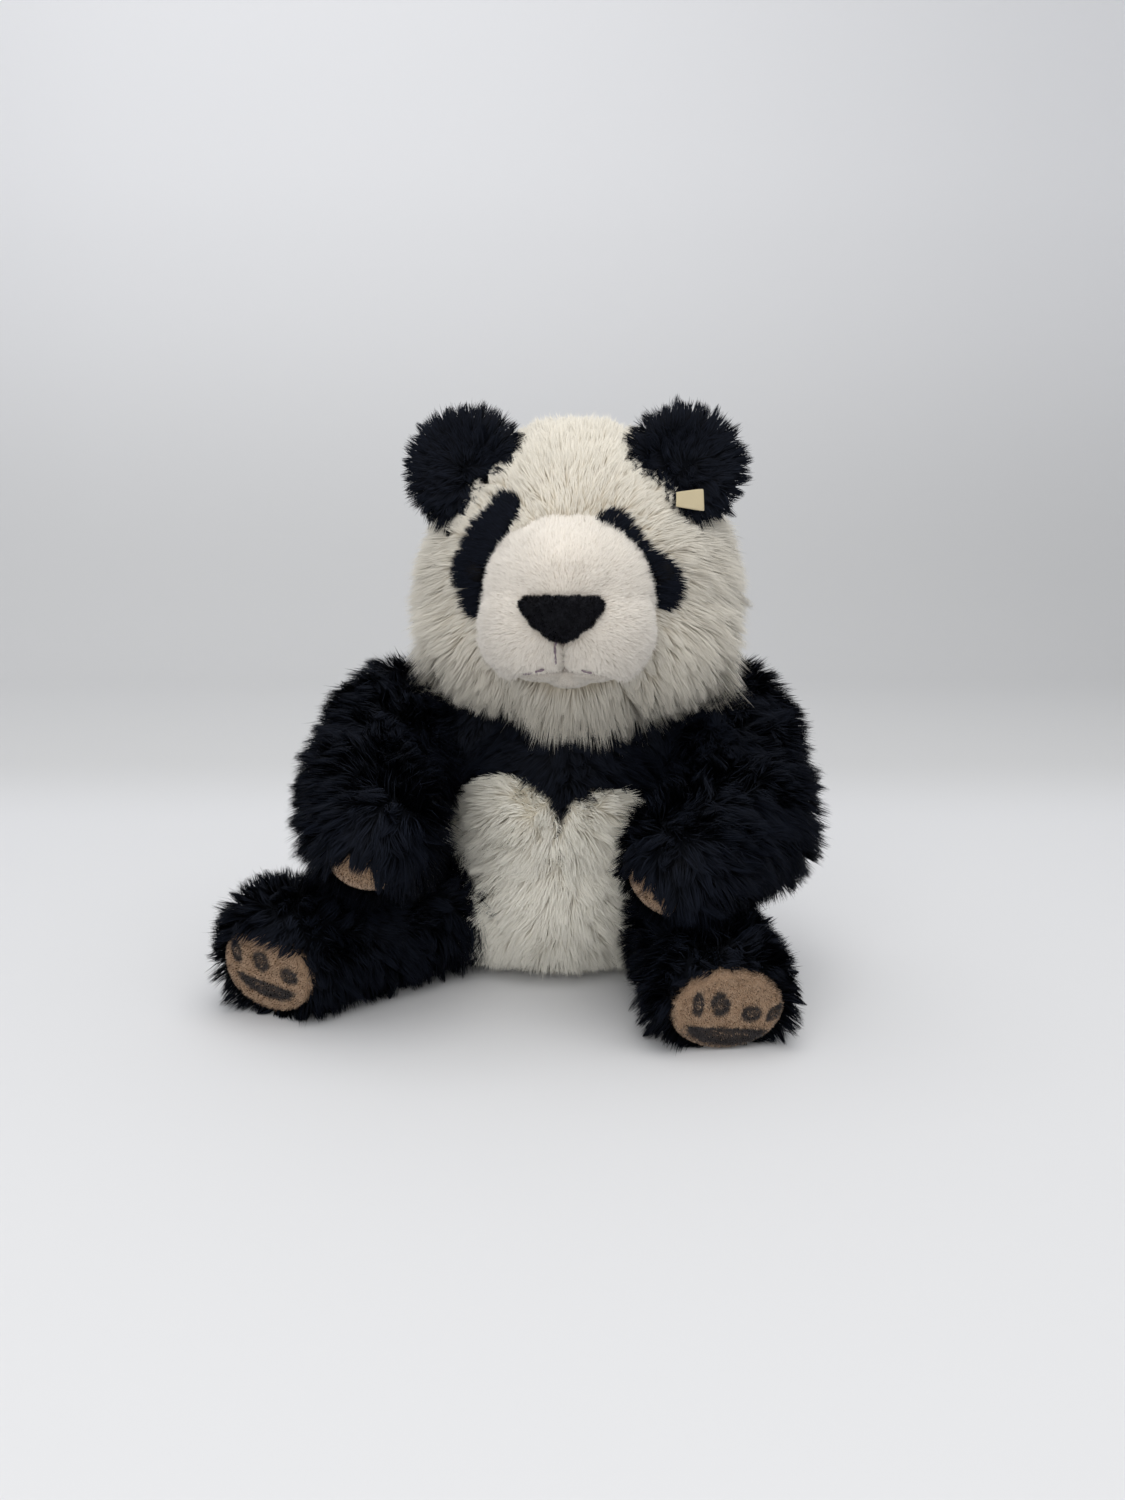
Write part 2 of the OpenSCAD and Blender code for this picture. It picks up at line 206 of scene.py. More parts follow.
def makeFurGroup():
    # colour of a hair from its own map: u picks the hair's own tone at random, v runs from root to tip; the
    # darker root is partly the pile's own tone and partly painted shade of the hairs over it
    group, start, end = newGroup("hairColour", {"Root": "Color", "Tip": "Color", "Variation": "Float",
                                                "Columns": "Float"}, {"Colour": "Color"})
    uv = nodeIn(group, "UVMap", -1100, 250, uv_map="OFBake")
    split = nodeIn(group, "SeparateXYZ", -900, 250)
    times = nodeIn(group, "Math", -700, 300, operation="MULTIPLY")
    floor = nodeIn(group, "Math", -530, 300, operation="FLOOR")
    shade = nodeIn(group, "TexWhiteNoise", -360, 300, noise_dimensions="1D")
    centred = nodeIn(group, "Math", -180, 300, {1: 0.5}, operation="SUBTRACT")
    spread = nodeIn(group, "Math", 0, 300, {2: 1.0}, operation="MULTIPLY_ADD")
    # painted shade: the colour darkens from tip down to root
    along = nodeIn(group, "MapRange", -500, 50, {"From Min": 0.0, "From Max": 0.75},
                   interpolation_type="SMOOTHSTEP")
    mix = nodeIn(group, "Mix", -250, 0, data_type="RGBA")
    scaled = nodeIn(group, "VectorMath", 250, 100, operation="SCALE")
    wire(group, (uv, "UV", split, 0), (split, "X", times, 0), (start, "Columns", times, 1),
         (times, 0, floor, 0), (floor, 0, shade, "W"), (shade, "Value", centred, 0), (centred, 0, spread, 0),
         (start, "Variation", spread, 1), (split, "Y", along, "Value"), (along, 0, mix, "Factor"),
         (start, "Root", mix, "A"), (start, "Tip", mix, "B"), (mix, "Result", scaled, 0),
         (spread, 0, scaled, "Scale"), (scaled, 0, end, "Colour"))
    return group


def makeWeaveGroup():
    # plain weave: light threads over dark gaps
    group, start, end = newGroup("weave", {"Light": "Color", "Dark": "Color", "Scale": "Float"},
                                 {"Colour": "Color", "Height": "Float"})
    coords = nodeIn(group, "TexCoord", -1100, 250)
    both = nodeIn(group, "Math", -400, 150, operation="MULTIPLY")
    for i, direction in enumerate(("X", "Z")):
        thread = nodeIn(group, "TexWave", -750, 250 - 350 * i, {"Distortion": 0.6},
                        bands_direction=direction)
        wire(group, (coords, "Object", thread, "Vector"), (start, "Scale", thread, "Scale"),
             (thread, "Fac", both, i))
    mix = nodeIn(group, "Mix", 0, 0, data_type="RGBA")
    wire(group, (both, 0, mix, "Factor"), (start, "Dark", mix, "A"), (start, "Light", mix, "B"),
         (mix, "Result", end, "Colour"), (both, 0, end, "Height"))
    return group


def makeMottleGroup():
    # slight cloudiness of moulded plastic
    group, start, end = newGroup("mottle", {"Light": "Color", "Dark": "Color"}, {"Colour": "Color"})
    coords = nodeIn(group, "TexCoord", -1100, 250)
    noise = nodeIn(group, "TexNoise", -600, 150, {"Scale": 400})
    mix = nodeIn(group, "Mix", 0, 0, data_type="RGBA")
    wire(group, (coords, "Object", noise, "Vector"), (noise, "Fac", mix, "Factor"),
         (start, "Dark", mix, "A"), (start, "Light", mix, "B"), (mix, "Result", end, "Colour"))
    return group


hairColour = makeFurGroup()
weave = makeWeaveGroup()
mottle = makeMottleGroup()


def hairShade(tree, colours, variation, y=0):
    values = {"Root": (*colours["root"], 1), "Tip": (*colours["tip"], 1), "Variation": variation,
              "Columns": furColumns}
    return nodeIn(tree, "Group", -500, y, values, node_tree=hairColour)


def furMaterial(name, colours, variation, roughness, specular, sheen=0.0):
    material, tree, shader = newMaterial(name, roughness, specular, sheen)
    wire(tree, (hairShade(tree, colours, variation), "Colour", shader, "Base Color"))
    return material


def padFurMaterial(name, plain, printed, variation):
    # hairs in the left half of the map are plain, those in the right half are printed
    material, tree, shader = newMaterial(name, 0.85, 0.15, 0.15)
    left = hairShade(tree, plain, variation, 150)
    right = hairShade(tree, printed, variation, -150)
    uv = nodeIn(tree, "UVMap", -900, 0, uv_map="OFBake")
    split = nodeIn(tree, "SeparateXYZ", -720, 0)
    half = nodeIn(tree, "Math", -500, 0, {1: 0.5}, operation="GREATER_THAN")
    mix = nodeIn(tree, "Mix", -250, 0, data_type="RGBA")
    wire(tree, (uv, "UV", split, 0), (split, "X", half, 0), (half, 0, mix, "Factor"),
         (left, "Colour", mix, "A"), (right, "Colour", mix, "B"), (mix, "Result", shader, "Base Color"))
    return material


def backingMaterial(name, knit=0.0006):
    # knitted backing cloth under the pile, tinted piece by piece
    material, tree, shader = newMaterial(name, 0.9, 0.1)
    tint = nodeIn(tree, "Attribute", -700, 200, attribute_name="Tint")
    coords = nodeIn(tree, "TexCoord", -1000, -100)
    cells = nodeIn(tree, "TexVoronoi", -800, -100, {"Scale": 1 / knit})
    bump = nodeIn(tree, "Bump", -300, -200, {"Strength": 0.5, "Distance": 0.0003})
    dark = nodeIn(tree, "MapRange", -550, -50, {"To Min": 1.05, "To Max": 0.75})
    scaled = nodeIn(tree, "VectorMath", -300, 150, operation="SCALE")
    wire(tree, (coords, "Object", cells, "Vector"), (cells, "Distance", dark, "Value"),
         (cells, "Distance", bump, "Height"), (tint, "Color", scaled, 0), (dark, 0, scaled, "Scale"),
         (scaled, 0, shader, "Base Color"), (bump, 0, shader, "Normal"))
    return material


def clothMaterial(name, light, dark, threads=0.00045):
    material, tree, shader = newMaterial(name, 0.85, 0.15, 0.1)
    values = {"Light": (*light, 1), "Dark": (*dark, 1), "Scale": 0.314 / threads}
    cloth = nodeIn(tree, "Group", -600, 0, values, node_tree=weave)
    bump = nodeIn(tree, "Bump", -300, -200, {"Distance": 0.0002})
    wire(tree, (cloth, "Colour", shader, "Base Color"), (cloth, "Height", bump, "Height"),
         (bump, 0, shader, "Normal"))
    return material


def plasticMaterial(name, light, dark, roughness, specular=0.4):
    material, tree, shader = newMaterial(name, roughness, specular)
    plastic = nodeIn(tree, "Group", -400, 0, {"Light": (*light, 1), "Dark": (*dark, 1)},
                     node_tree=mottle)
    wire(tree, (plastic, "Colour", shader, "Base Color"))
    return material


def threadMaterial(name, light, dark):
    material, tree, shader = newMaterial(name, 0.7, 0.3)
    coords = nodeIn(tree, "TexCoord", -700, 0)
    ply = nodeIn(tree, "TexWave", -500, 0, {"Scale": 700}, bands_direction="DIAGONAL")
    mix = nodeIn(tree, "Mix", -250, 0, data_type="RGBA")
    mix.inputs["A"].default_value = (*dark, 1)
    mix.inputs["B"].default_value = (*light, 1)
    wire(tree, (coords, "Object", ply, "Vector"), (ply, "Fac", mix, "Factor"),
         (mix, "Result", shader, "Base Color"))
    return material


# root colours: each pile's own tone darkened with painted shade of the hairs over it, also used to tint the
# backing; tip colours: the pile's own tone
whites = {"root": (0.64, 0.565, 0.44), "tip": (0.79, 0.745, 0.645)}
# the belly's own warm white, raised with painted light where the belly faces forward and down, away from the
# overhead lamp
bellyWhitesLit = {"root": (0.88, 0.82, 0.69), "tip": (0.96, 0.93, 0.83)}
muzzleWhites = {"root": (0.74, 0.675, 0.59), "tip": (0.85, 0.80, 0.72)}
blacks = {"root": (0.0021, 0.0029, 0.0050), "tip": (0.0066, 0.0086, 0.0148)}
noseBlacks = {"root": (0.004, 0.0042, 0.006), "tip": (0.009, 0.0095, 0.0135), "cloth": (0.006, 0.006, 0.008)}
tans = {"root": (0.33, 0.22, 0.14), "tip": (0.52, 0.37, 0.26)}
prints = {"root": (0.030, 0.027, 0.028), "tip": (0.068, 0.060, 0.060)}
# painted shade in the mouth's fold and in the seam under the nose
paintedMouthShade = (0.30, 0.25, 0.22)

whiteFur = furMaterial("silkyWhitePile", whites, 0.18, 0.5, 0.3, 0.15)
bellyFur = furMaterial("bellyWhitePileLit", bellyWhitesLit, 0.16, 0.5, 0.3, 0.15)
muzzleFur = furMaterial("shortWhitePile", muzzleWhites, 0.1, 0.8, 0.15, 0.15)
blackFur = furMaterial("longBlackPile", blacks, 0.9, 0.62, 0.07)
noseFur = furMaterial("shortBlackPile", noseBlacks, 0.7, 0.6, 0.12)
padFur = padFurMaterial("tanVelourPile", tans, prints, 0.3)
backing = backingMaterial("backingCloth")
greyThread = threadMaterial("greyThread", (0.26, 0.20, 0.23), (0.10, 0.07, 0.09))
cotton = clothMaterial("cottonTape", (0.78, 0.69, 0.48), (0.60, 0.50, 0.31))
bagCloth = clothMaterial("bagCloth", (0.75, 0.74, 0.70), (0.55, 0.54, 0.50), 0.0007)
blackThread = clothMaterial("blackThread", (0.02, 0.02, 0.022), (0.006, 0.006, 0.007))
eyePlastic = plasticMaterial("eyePlastic", (0.006, 0.006, 0.007), (0.003, 0.003, 0.004), 0.7, 0.06)
washerPlastic = plasticMaterial("washerPlastic", (0.80, 0.80, 0.77), (0.70, 0.70, 0.67), 0.5)
pelletPlastic = plasticMaterial("pelletPlastic", (0.68, 0.69, 0.72), (0.5, 0.51, 0.54), 0.4)


# soft forms

def deselectAll():
    bpy.ops.object.select_all(action="DESELECT")


def applyModifiers(piece):
    deselectAll()
    piece.select_set(True)
    bpy.context.view_layer.objects.active = piece
    for modifier in list(piece.modifiers):
        bpy.ops.object.modifier_apply(modifier=modifier.name)


def addBall(centre, radius, stretch=(1, 1, 1), turn=(0, 0, 0), sides=32, rings=20):
    bpy.ops.mesh.primitive_uv_sphere_add(segments=sides, ring_count=rings, radius=radius,
                                         location=[float(c) for c in centre])
    ball = bpy.context.object
    ball.scale = stretch
    ball.rotation_euler = turn
    return ball


def joinParts(parts, name):
    deselectAll()
    for part in parts:
        part.select_set(True)
    bpy.context.view_layer.objects.active = parts[0]
    if len(parts) > 1:
        bpy.ops.object.join()
    bpy.ops.object.transform_apply(location=True, rotation=True, scale=True)
    piece = bpy.context.object
    piece.name = name
    piece.data.name = name
    return piece


def softForm(name, balls, voxel, smooth):
    # stuffed shape: balls in metres, joined, skinned over and smoothed
    deselectAll()
    piece = joinParts([addBall(*ball) for ball in balls], name)
    skin = piece.modifiers.new("skin", "REMESH")
    skin.mode = "VOXEL"
    skin.voxel_size = voxel * mm
    even = piece.modifiers.new("even", "SMOOTH")
    even.factor = 0.5
    even.iterations = smooth
    applyModifiers(piece)
    piece.data.shade_smooth()
    return piece


def vertsOf(piece):
    points = np.empty(len(piece.data.vertices) * 3, np.float32)
    piece.data.vertices.foreach_get("co", points)
    return points.reshape(-1, 3).astype(np.float64)


def setVerts(piece, points):
    piece.data.vertices.foreach_set("co", points.astype(np.float32).ravel())
    piece.data.update()


def mixed(plain, other, share):
    share = share[:, None]
    return np.array(plain) * (1 - share) + np.array(other) * share


def tintPiece(piece, colour):
    # one colour all over, or a function that gives the colour at each place
    points = vertsOf(piece)
    colours = np.ones((len(points), 4), np.float32)
    colours[:, :3] = colour(points) if callable(colour) else colour
    layer = piece.data.color_attributes.new("Tint", "FLOAT_COLOR", "POINT")
    layer.data.foreach_set("color", colours.ravel())


def finishForm(piece, body, material, replaces):
    piece.data.materials.clear()
    piece.data.materials.append(material)
    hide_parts(*replaces)
    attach(piece, body)


def between(a, b, share):
    return np.array(a) + (np.array(b) - np.array(a)) * share


def chain(keys, steps=5):
    # balls along a limb, from (centre, radius) keys
    balls = []
    for (a, ra), (b, rb) in zip(keys, keys[1:]):
        for i in range(steps):
            balls.append((between(a, b, i / steps), ra + (rb - ra) * i / steps))
    balls.append(keys[-1])
    return balls


# fur

# hairs per square mm, their width and their tufts' size in mm, and the rest as shares of a hair's length
longCoat = {"perSquareMm": 1.5, "width": 0.55, "segments": 2, "tuft": 6.5, "cling": 0.78,
            "droop": 0.25, "curl": 0.2, "uneven": 0.4, "messy": 0.14}
bellyCoat = dict(longCoat, perSquareMm=2.4, width=0.45, tuft=5.0, cling=0.5)
yokeCoat = dict(longCoat, perSquareMm=1.25)
headCoat = {"perSquareMm": 2.1, "width": 0.42, "segments": 3, "tuft": 5.2, "cling": 0.55,
            "droop": 0.32, "curl": 0.16, "uneven": 0.3, "messy": 0.09}
tailCoat = dict(headCoat, perSquareMm=2.0)
patchCoat = {"perSquareMm": 3.6, "width": 0.5, "segments": 2, "tuft": 3.0, "cling": 0.4,
             "droop": 0.1, "curl": 0.15, "uneven": 0.3, "messy": 0.14}
earCoat = {"perSquareMm": 2.4, "width": 0.45, "segments": 3, "tuft": 4.0, "cling": 0.72,
           "droop": 0.05, "curl": 0.2, "uneven": 0.4, "messy": 0.18}
muzzleCoat = {"perSquareMm": 5.5, "width": 0.36, "segments": 2, "tuft": 2.0, "cling": 0.2,
              "droop": 0.1, "curl": 0.12, "uneven": 0.25, "messy": 0.2}
noseCoat = {"perSquareMm": 7.0, "width": 0.3, "segments": 2, "tuft": 1.6, "cling": 0.25,
            "droop": 0.0, "curl": 0.15, "uneven": 0.3, "messy": 0.25}
padCoat = {"perSquareMm": 5.0, "width": 0.4, "segments": 1, "tuft": 2.0, "cling": 0.15,
           "droop": 0.0, "curl": 0.1, "uneven": 0.3, "messy": 0.3}
soleCoat = dict(padCoat, perSquareMm=7.0, width=0.36)
mostFaces = 190000      # a longer coat is split into pieces of at most this many


def unit(v):
    return v / np.maximum(np.linalg.norm(v, axis=-1, keepdims=True), 1e-12)


def smoothstep(low, high, value):
    t = np.clip((value - low) / (high - low), 0, 1)
    return t * t * (3 - 2 * t)


def bell(value, width):
    return np.exp(-(value / width) ** 2)


def drift(points, size, seed):
    # slow random vectors over the surface, so that the pile lies a little differently from place to place
    waves = np.random.default_rng(seed)
    out = np.zeros_like(points)
    for octave in range(3):
        direction = unit(waves.normal(size=(3, 3)))
        phase = waves.uniform(0, 2 * math.pi, (3, 3))
        scale = 2 * math.pi / (size * mm) * 1.7 ** octave
        for axis in range(3):
            wave = np.sin(points @ direction.T * scale + phase[axis])
            out[:, axis] += wave.prod(axis=1) / 1.5 ** octave
    return out


def rootsOn(piece, count, keep=None):
    # spots spread evenly over the piece's surface, the surface's normal at each, and the area they cover
    data = piece.data
    data.calc_loop_triangles()
    tris = np.empty(len(data.loop_triangles) * 3, np.int32)
    data.loop_triangles.foreach_get("vertices", tris)
    tris = tris.reshape(-1, 3)
    verts = vertsOf(piece)
    normals = np.empty(len(verts) * 3, np.float32)
    data.vertex_normals.foreach_get("vector", normals)
    normals = normals.reshape(-1, 3).astype(np.float64)
    a, b, c = verts[tris[:, 0]], verts[tris[:, 1]], verts[tris[:, 2]]
    area = np.linalg.norm(np.cross(b - a, c - a), axis=1) / 2
    if keep is not None:
        area = area * (keep((a + b + c) / 3) > 0.02)
    total = area.sum()
    picks = random.choice(len(tris), size=count, p=area / total)
    r1, r2 = np.sqrt(random.random(count)), random.random(count)
    w = np.stack([1 - r1, r1 * (1 - r2), r1 * r2], axis=1)
    points = sum(w[:, i:i + 1] * verts[tris[picks, i]] for i in range(3))
    slopes = unit(sum(w[:, i:i + 1] * normals[tris[picks, i]] for i in range(3)))
    if keep is not None:
        chosen = random.random(count) < keep(points)
        points, slopes = points[chosen], slopes[chosen]
    return points, slopes, total


def hairPaths(points, slopes, lay, length, tufts, coat):
    # each hair from root to tip, bent, drooping, and leaning towards the middle hair of its tuft
    count = len(points)
    heads = random.choice(count, size=min(tufts, count), replace=False)
    tree = kdtree.KDTree(len(heads))
    for i, hair in enumerate(heads):
        tree.insert(points[hair], i)
    tree.balance()
    owner = heads[np.fromiter((tree.find(p)[1] for p in points), np.int64, count)]
    cling = coat["cling"] * (0.55 + 0.75 * random.random(count))[:, None]
    cling = np.clip(cling * (0.4 + 0.9 * random.random(count)[owner][:, None]), 0, 0.95)
    bend = coat["droop"] * np.array([0, 0, -1.0]) + coat["curl"] * random.normal(size=(count, 3))
    start = points - slopes * 0.4 * mm
    paths = []
    for s in np.linspace(0, 1, coat["segments"] + 1):
        own = start + length[:, None] * (lay * s + bend * s * s * 0.5)
        paths.append(own + (own[owner] - own) * cling * s ** 1.3)
    paths = np.stack(paths, axis=1)
    paths[:, :, 2] = np.maximum(paths[:, :, 2], 0.5 * mm + 0.0002 * random.random((count, 1)))
    return paths


def hairBlades(paths, slopes, coat):
    # a flat tapered blade along each path, its face turned the same way as the skin under it
    count, segments = len(paths), coat["segments"]
    along = unit(paths[:, -1] - paths[:, 0])
    facing = unit(slopes + 0.3 * random.normal(size=(count, 3)))
    side = unit(np.cross(along, facing))
    width = coat["width"] * mm * (0.7 + 0.6 * random.random(count))
    verts = np.empty((count, 2 * segments + 1, 3))
    for k in range(segments):
        taper = 1 - 0.6 * (k / segments) ** 1.5
        half = side * (width * taper / 2)[:, None]
        verts[:, 2 * k] = paths[:, k] - half
        verts[:, 2 * k + 1] = paths[:, k] + half
    verts[:, -1] = paths[:, -1]
    faceNormal = np.cross(verts[:, 1] - verts[:, 0], paths[:, -1] - paths[:, 0])
    flip = (faceNormal * slopes).sum(axis=1) < 0
    for k in range(0, 2 * segments, 2):
        verts[flip, k:k + 2] = verts[flip, k:k + 2][:, ::-1]
    faceNormal[flip] *= -1
    return verts, unit(unit(faceNormal) * 0.35 + slopes * 0.65 + along * 0.25)


def bladeFaces(segments):
    faces = []
    for k in range(0, 2 * segments - 2, 2):
        faces += [(k, k + 1, k + 3), (k, k + 3, k + 2)]
    faces.append((2 * segments - 2, 2 * segments - 1, 2 * segments))
    return np.array(faces)


def hairMap(points, segments, printed):
    # each hair's own column of the map, from root (v = 0) to tip (v = 1)
    count = len(points)
    column = random.integers(0, furColumns // 2 if printed is not None else furColumns, count)
    if printed is not None:
        column += (furColumns // 2) * (random.random(count) < printed(points))
    places = np.empty((count, 2 * segments + 1, 2))
    places[:, 0::2, 0] = ((column + 0.15) / furColumns)[:, None]
    places[:, 1::2, 0] = ((column + 0.85) / furColumns)[:, None]
    places[:, -1, 0] = (column + 0.5) / furColumns
    stations = np.linspace(0, 1, segments + 1)
    places[:, :, 1] = np.append(np.repeat(stations[:-1], 2), 1.0) * 0.98 + 0.01
    return places


def hairMesh(name, verts, shading, places, blade, material):
    count, perHair = verts.shape[:2]
    loops = (blade.ravel()[None, :] + perHair * np.arange(count)[:, None]).ravel()
    mesh = bpy.data.meshes.new(name)
    mesh.vertices.add(count * perHair)
    mesh.vertices.foreach_set("co", verts.astype(np.float32).ravel())
    mesh.loops.add(len(loops))
    mesh.loops.foreach_set("vertex_index", loops.astype(np.int32))
    mesh.polygons.add(len(loops) // 3)
    mesh.polygons.foreach_set("loop_start", np.arange(0, len(loops), 3, dtype=np.int32))
    mesh.update(calc_edges=True)
    layer = mesh.uv_layers.new(name="OFBake")
    layer.data.foreach_set("uv", places.reshape(-1, 2)[loops].astype(np.float32).ravel())
    mesh.shade_smooth()
    mesh.normals_split_custom_set_from_vertices(np.repeat(shading, perHair, axis=0).astype(np.float32))
    mesh.materials.append(material)
    return mesh


def growFur(name, piece, body, material, coat, groom, keep=None, printed=None):
    # hairs over a piece: groom gives their way and length in mm, keep where they grow
    area = sum(p.area for p in piece.data.polygons) * toSquareMm
    if keep is not None:
        area = rootsOn(piece, 10, keep)[2] * toSquareMm     # ten trial roots, for the area that grows hair
    points, slopes, _ = rootsOn(piece, int(area * (coat["perSquareMm"] * furShare)), keep)
    count = len(points)
    lay, length = groom(points, slopes)
    length = length * mm * (1 + coat["uneven"] * (random.random(count) - 0.6))
    lay = unit(lay + coat["messy"] * random.normal(size=(count, 3)))
    paths = hairPaths(points, slopes, lay, length, max(8, int(area / coat["tuft"] ** 2)), coat)
    verts, shading = hairBlades(paths, slopes, coat)
    places = hairMap(points, coat["segments"], printed)
    blade = bladeFaces(coat["segments"])
    parts = max(1, math.ceil(count / (mostFaces // len(blade))))
    for part in range(parts):
        who = slice(part * count // parts, (part + 1) * count // parts)
        label = name if parts == 1 else name + "ABCDEFGH"[part]
        mesh = hairMesh(label, verts[who], shading[who], places[who], blade, material)
        made = bpy.data.objects.new(label, mesh)
        scene.collection.objects.link(made)
        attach(made, body)
    print(name, count, "hairs in", parts, "piece(s)")


# head

head = {"turn": -5.0, "radius": 75.0, "muzzleAt": (0, -58.3, -11), "muzzleRadius": 40.0, "seam": 1.5,
        "combFrom": (0, -78, -6), "eyeAt": (46, -59, 4), "earAt": (55, -29, 55), "earRadius": 24.0}
headPile = {"length": 14.0, "crown": 1.0, "leftSide": 5.0, "rightSide": 3.0, "cheek": 4.0, "chin": 9.5,
            "jowl": 5.5}
patchPile = {"length": 8.5, "byEye": 3.0}
muzzlePile = {"length": 4.2, "bySeam": 2.4}
earPile = {"length": 9.0, "byRim": 2.5}
nosePile = 2.2
headCentre = joints["head_turn"]
headTurn = math.radians(head["turn"])
turnArray = np.array(Matrix.Rotation(headTurn, 3, "Z"))
muzzleAt = np.array(head["muzzleAt"])


def headPoint(x, y, z):
    return headCentre + turnArray @ (np.array([x, y, z]) * mm)


def inHead(points):
    # the head's own millimetres: face towards -Y
    return (points - headCentre) @ turnArray / mm


def ballDistance(points, centre):
    return np.linalg.norm(points - np.array(centre), axis=1)


def aboveHead(points):
    # distance in mm from the head's middle ball
    return ballDistance(inHead(points), (0, 0, 0)) - head["radius"]


def strokeDistance(points, a, b):
    # distance from a straight stroke between two places
    a, b = np.array(a, float), np.array(b, float)
    t = np.clip(((points - a) @ (b - a)) / ((b - a) @ (b - a)), 0, 1)
    return np.linalg.norm(points - (a + t[:, None] * (b - a)), axis=1)


# black patches round the eyes, as thick strokes over the head's surface (mm, in the head's frame)
eyePatches = {"surface": 74.0,
              "left": [((21, -69, 23), (28.5, -68, 10.5), 8.8), ((28.5, -68, 10.5), (37, -63.5, 2), 10.2),
                       ((40, -61, 1), (44, -58, -4.5), 9.0)],
              "right": [((-30, -62, 32), (-39, -62, 19), 8.4), ((-39, -62, 19), (-45, -58, 6), 11.6),
                        ((-45, -58, 6), (-45.5, -59, -11), 7.0)]}


def patchEdge(p):
    # below 0 inside a patch
    surface = unit(p) * eyePatches["surface"]
    strokes = eyePatches["left"] + eyePatches["right"]
    return np.min([strokeDistance(surface, a, b) - r for a, b, r in strokes], axis=0)


def muzzleEdge(p):
    # below 0 inside the muzzle's seam
    return ballDistance(p, muzzleAt) - head["muzzleRadius"] - head["seam"]


def makeHead():
    # skull, forehead and both cheeks
    lumps = [((0, 0, 0), 73), ((0, -4, 6), 69), ((-30, -16, -22), 41), ((30, -16, -22), 41)]
    form = softForm("headSkin", [(headPoint(*place), r * mm) for place, r in lumps], voxel=3.0, smooth=12)
    tintPiece(form, lambda points: mixed(whites["root"], blacks["root"],
                                         smoothstep(1.0, -1.0, patchEdge(inHead(points)))))
    finishForm(form, "head", backing,
               ["head_side_left", "head_side_right", "forehead_gusset", "head_stuffing",
                "eye_patch_left", "eye_patch_right"])
    return form


def headGroom(points, slopes):
    # combed away from the face's middle in front, and down behind
    p = inHead(points)
    x, y, z = p.T
    n = slopes @ turnArray
    away = p - np.array(head["combFrom"])
    away = unit(away - n * (away * n).sum(axis=1, keepdims=True))
    side = smoothstep(38, 66, np.abs(x)) * smoothstep(45, 0, y)
    top = smoothstep(30, 62, z)
    chin = smoothstep(-20, -44, z) * smoothstep(30, -12, y)
    front = smoothstep(30, -35, y)[:, None]
    comb = away * front + np.array([0, 0.25, -1.0]) * (1 - front)
    # under the mouth the pile hangs straight down and parts in the middle
    parting = np.sign(x) * smoothstep(0, 9, np.abs(x)) * 0.2 + x / 90
    hanging = np.stack([parting, np.full(len(p), -0.1), np.full(len(p), -1.0)], axis=1)
    comb = comb * (1 - chin)[:, None] + hanging * chin[:, None]
    comb = comb + np.array([0, 0, -0.55]) * (side * smoothstep(45, 15, z))[:, None]
    comb = unit(comb + 0.34 * drift(points, 36, 3))
    lift = 0.6 + 0.35 * top + 0.5 * side * (1 - chin) - 0.2 * chin
    lay = unit(slopes * lift[:, None] + (comb @ turnArray.T) * 0.85)
    cheek = smoothstep(30, -10, z) * side
    jowl = chin * smoothstep(20, 36, np.abs(x))
    sideLength = np.where(x < 0, headPile["rightSide"], headPile["leftSide"])
    length = headPile["length"] + headPile["crown"] * top + sideLength * side + headPile["cheek"] * cheek
    length = length + headPile["chin"] * chin + headPile["jowl"] * jowl
    # shorter by the muzzle's seam, the patches and the ears
    length = length * (0.5 + 0.5 * smoothstep(0, 20, muzzleEdge(p)))
    length = length * (1 - 0.4 * smoothstep(12, 1, patchEdge(p)))
    byEar = smoothstep(36, 18, ballDistance(np.abs(p), (45, 34, 48)))
    return lay, length * (1 - 0.55 * byEar)


def patchGroom(points, slopes):
    p = inHead(points)
    lay, _ = headGroom(points, slopes)
    nearEye = smoothstep(14, 4, ballDistance(p * np.where(p[:, :1] < 0, [-1, 1, 1], 1), head["eyeAt"]))
    lay = unit(lay + slopes * (0.35 + 0.5 * nearEye)[:, None])
    return lay, patchPile["length"] + patchPile["byEye"] * nearEye


def smileHeight(q):
    # the mouth's height over the muzzle's middle: it droops a little to both sides
    return -31.0 - 0.004 * q[:, 0] ** 2


def mouthLines(q, seamWidth):
    # 1 on the seam under the nose and on the line of the mouth
    x, _, z = q.T
    seam = bell(x, seamWidth) * smoothstep(-13, -16, z) * smoothstep(-33, -30, z)
    line = bell(z - smileHeight(q), 1.2) * smoothstep(24, 18, np.abs(x))
    return np.maximum(seam, line)


